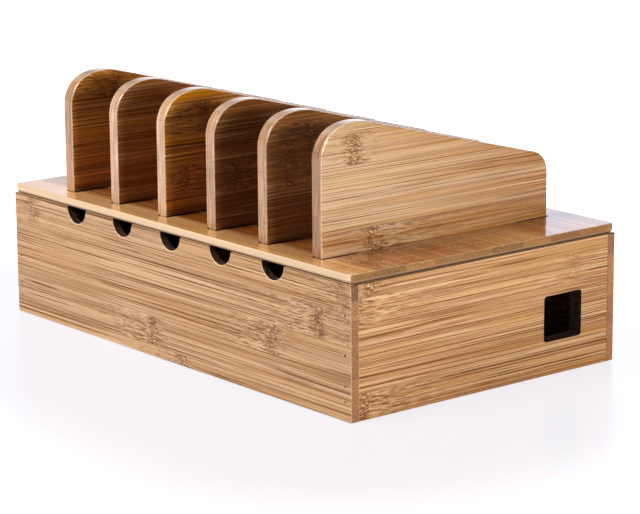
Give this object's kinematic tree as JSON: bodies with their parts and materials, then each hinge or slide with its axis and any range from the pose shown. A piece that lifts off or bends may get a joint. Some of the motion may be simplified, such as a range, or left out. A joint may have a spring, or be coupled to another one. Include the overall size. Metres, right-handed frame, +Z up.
{
  "type": "charging station organizer",
  "caption": "Bamboo box with a lift-off lid and upright sloping dividers that hold devices on edge, with half-round cable notches and a square cable hole.",
  "frame": {"origin": "on the resting plane, under the middle of the box", "axes": "+X along the notched front towards the side with the square cable hole, +Y towards the back, +Z up"},
  "size_m": [0.338, 0.206, 0.1607],
  "materials": {
    "box_bamboo": "satin varnish",
    "lid_bamboo": "satin varnish",
    "divider_bamboo": "satin varnish",
    "brad_steel": "plain"
  },
  "bodies": {
    "box": {"front_panel": "box_bamboo", "back_panel": "box_bamboo", "left_side_panel": "box_bamboo", "right_side_panel": "box_bamboo", "bottom_panel": "box_bamboo", "corner_brads": "brad_steel", "bottom_brads": "brad_steel"},
    "lid": {"lid_board": "lid_bamboo", "lid_batten_left": "lid_bamboo", "lid_batten_right": "lid_bamboo", "batten_brads": "brad_steel"},
    "divider_1": {"divider_1": "divider_bamboo"},
    "divider_2": {"divider_2": "divider_bamboo"},
    "divider_3": {"divider_3": "divider_bamboo"},
    "divider_4": {"divider_4": "divider_bamboo"},
    "divider_5": {"divider_5": "divider_bamboo"},
    "divider_6": {"divider_6": "divider_bamboo"}
  },
  "joints": [
    {"name": "lid_lift", "type": "slide", "parent": "box", "child": "lid", "axis": [0, 0, 1], "range_m": [0, 0.12]},
    {"name": "divider_1_lift", "type": "slide", "parent": "lid", "child": "divider_1", "axis": [0, 0, 1], "range_m": [0, 0.1]},
    {"name": "divider_2_lift", "type": "slide", "parent": "lid", "child": "divider_2", "axis": [0, 0, 1], "range_m": [0, 0.1]},
    {"name": "divider_3_lift", "type": "slide", "parent": "lid", "child": "divider_3", "axis": [0, 0, 1], "range_m": [0, 0.1]},
    {"name": "divider_4_lift", "type": "slide", "parent": "lid", "child": "divider_4", "axis": [0, 0, 1], "range_m": [0, 0.1]},
    {"name": "divider_5_lift", "type": "slide", "parent": "lid", "child": "divider_5", "axis": [0, 0, 1], "range_m": [0, 0.1]},
    {"name": "divider_6_lift", "type": "slide", "parent": "lid", "child": "divider_6", "axis": [0, 0, 1], "range_m": [0, 0.1]}
  ]
}
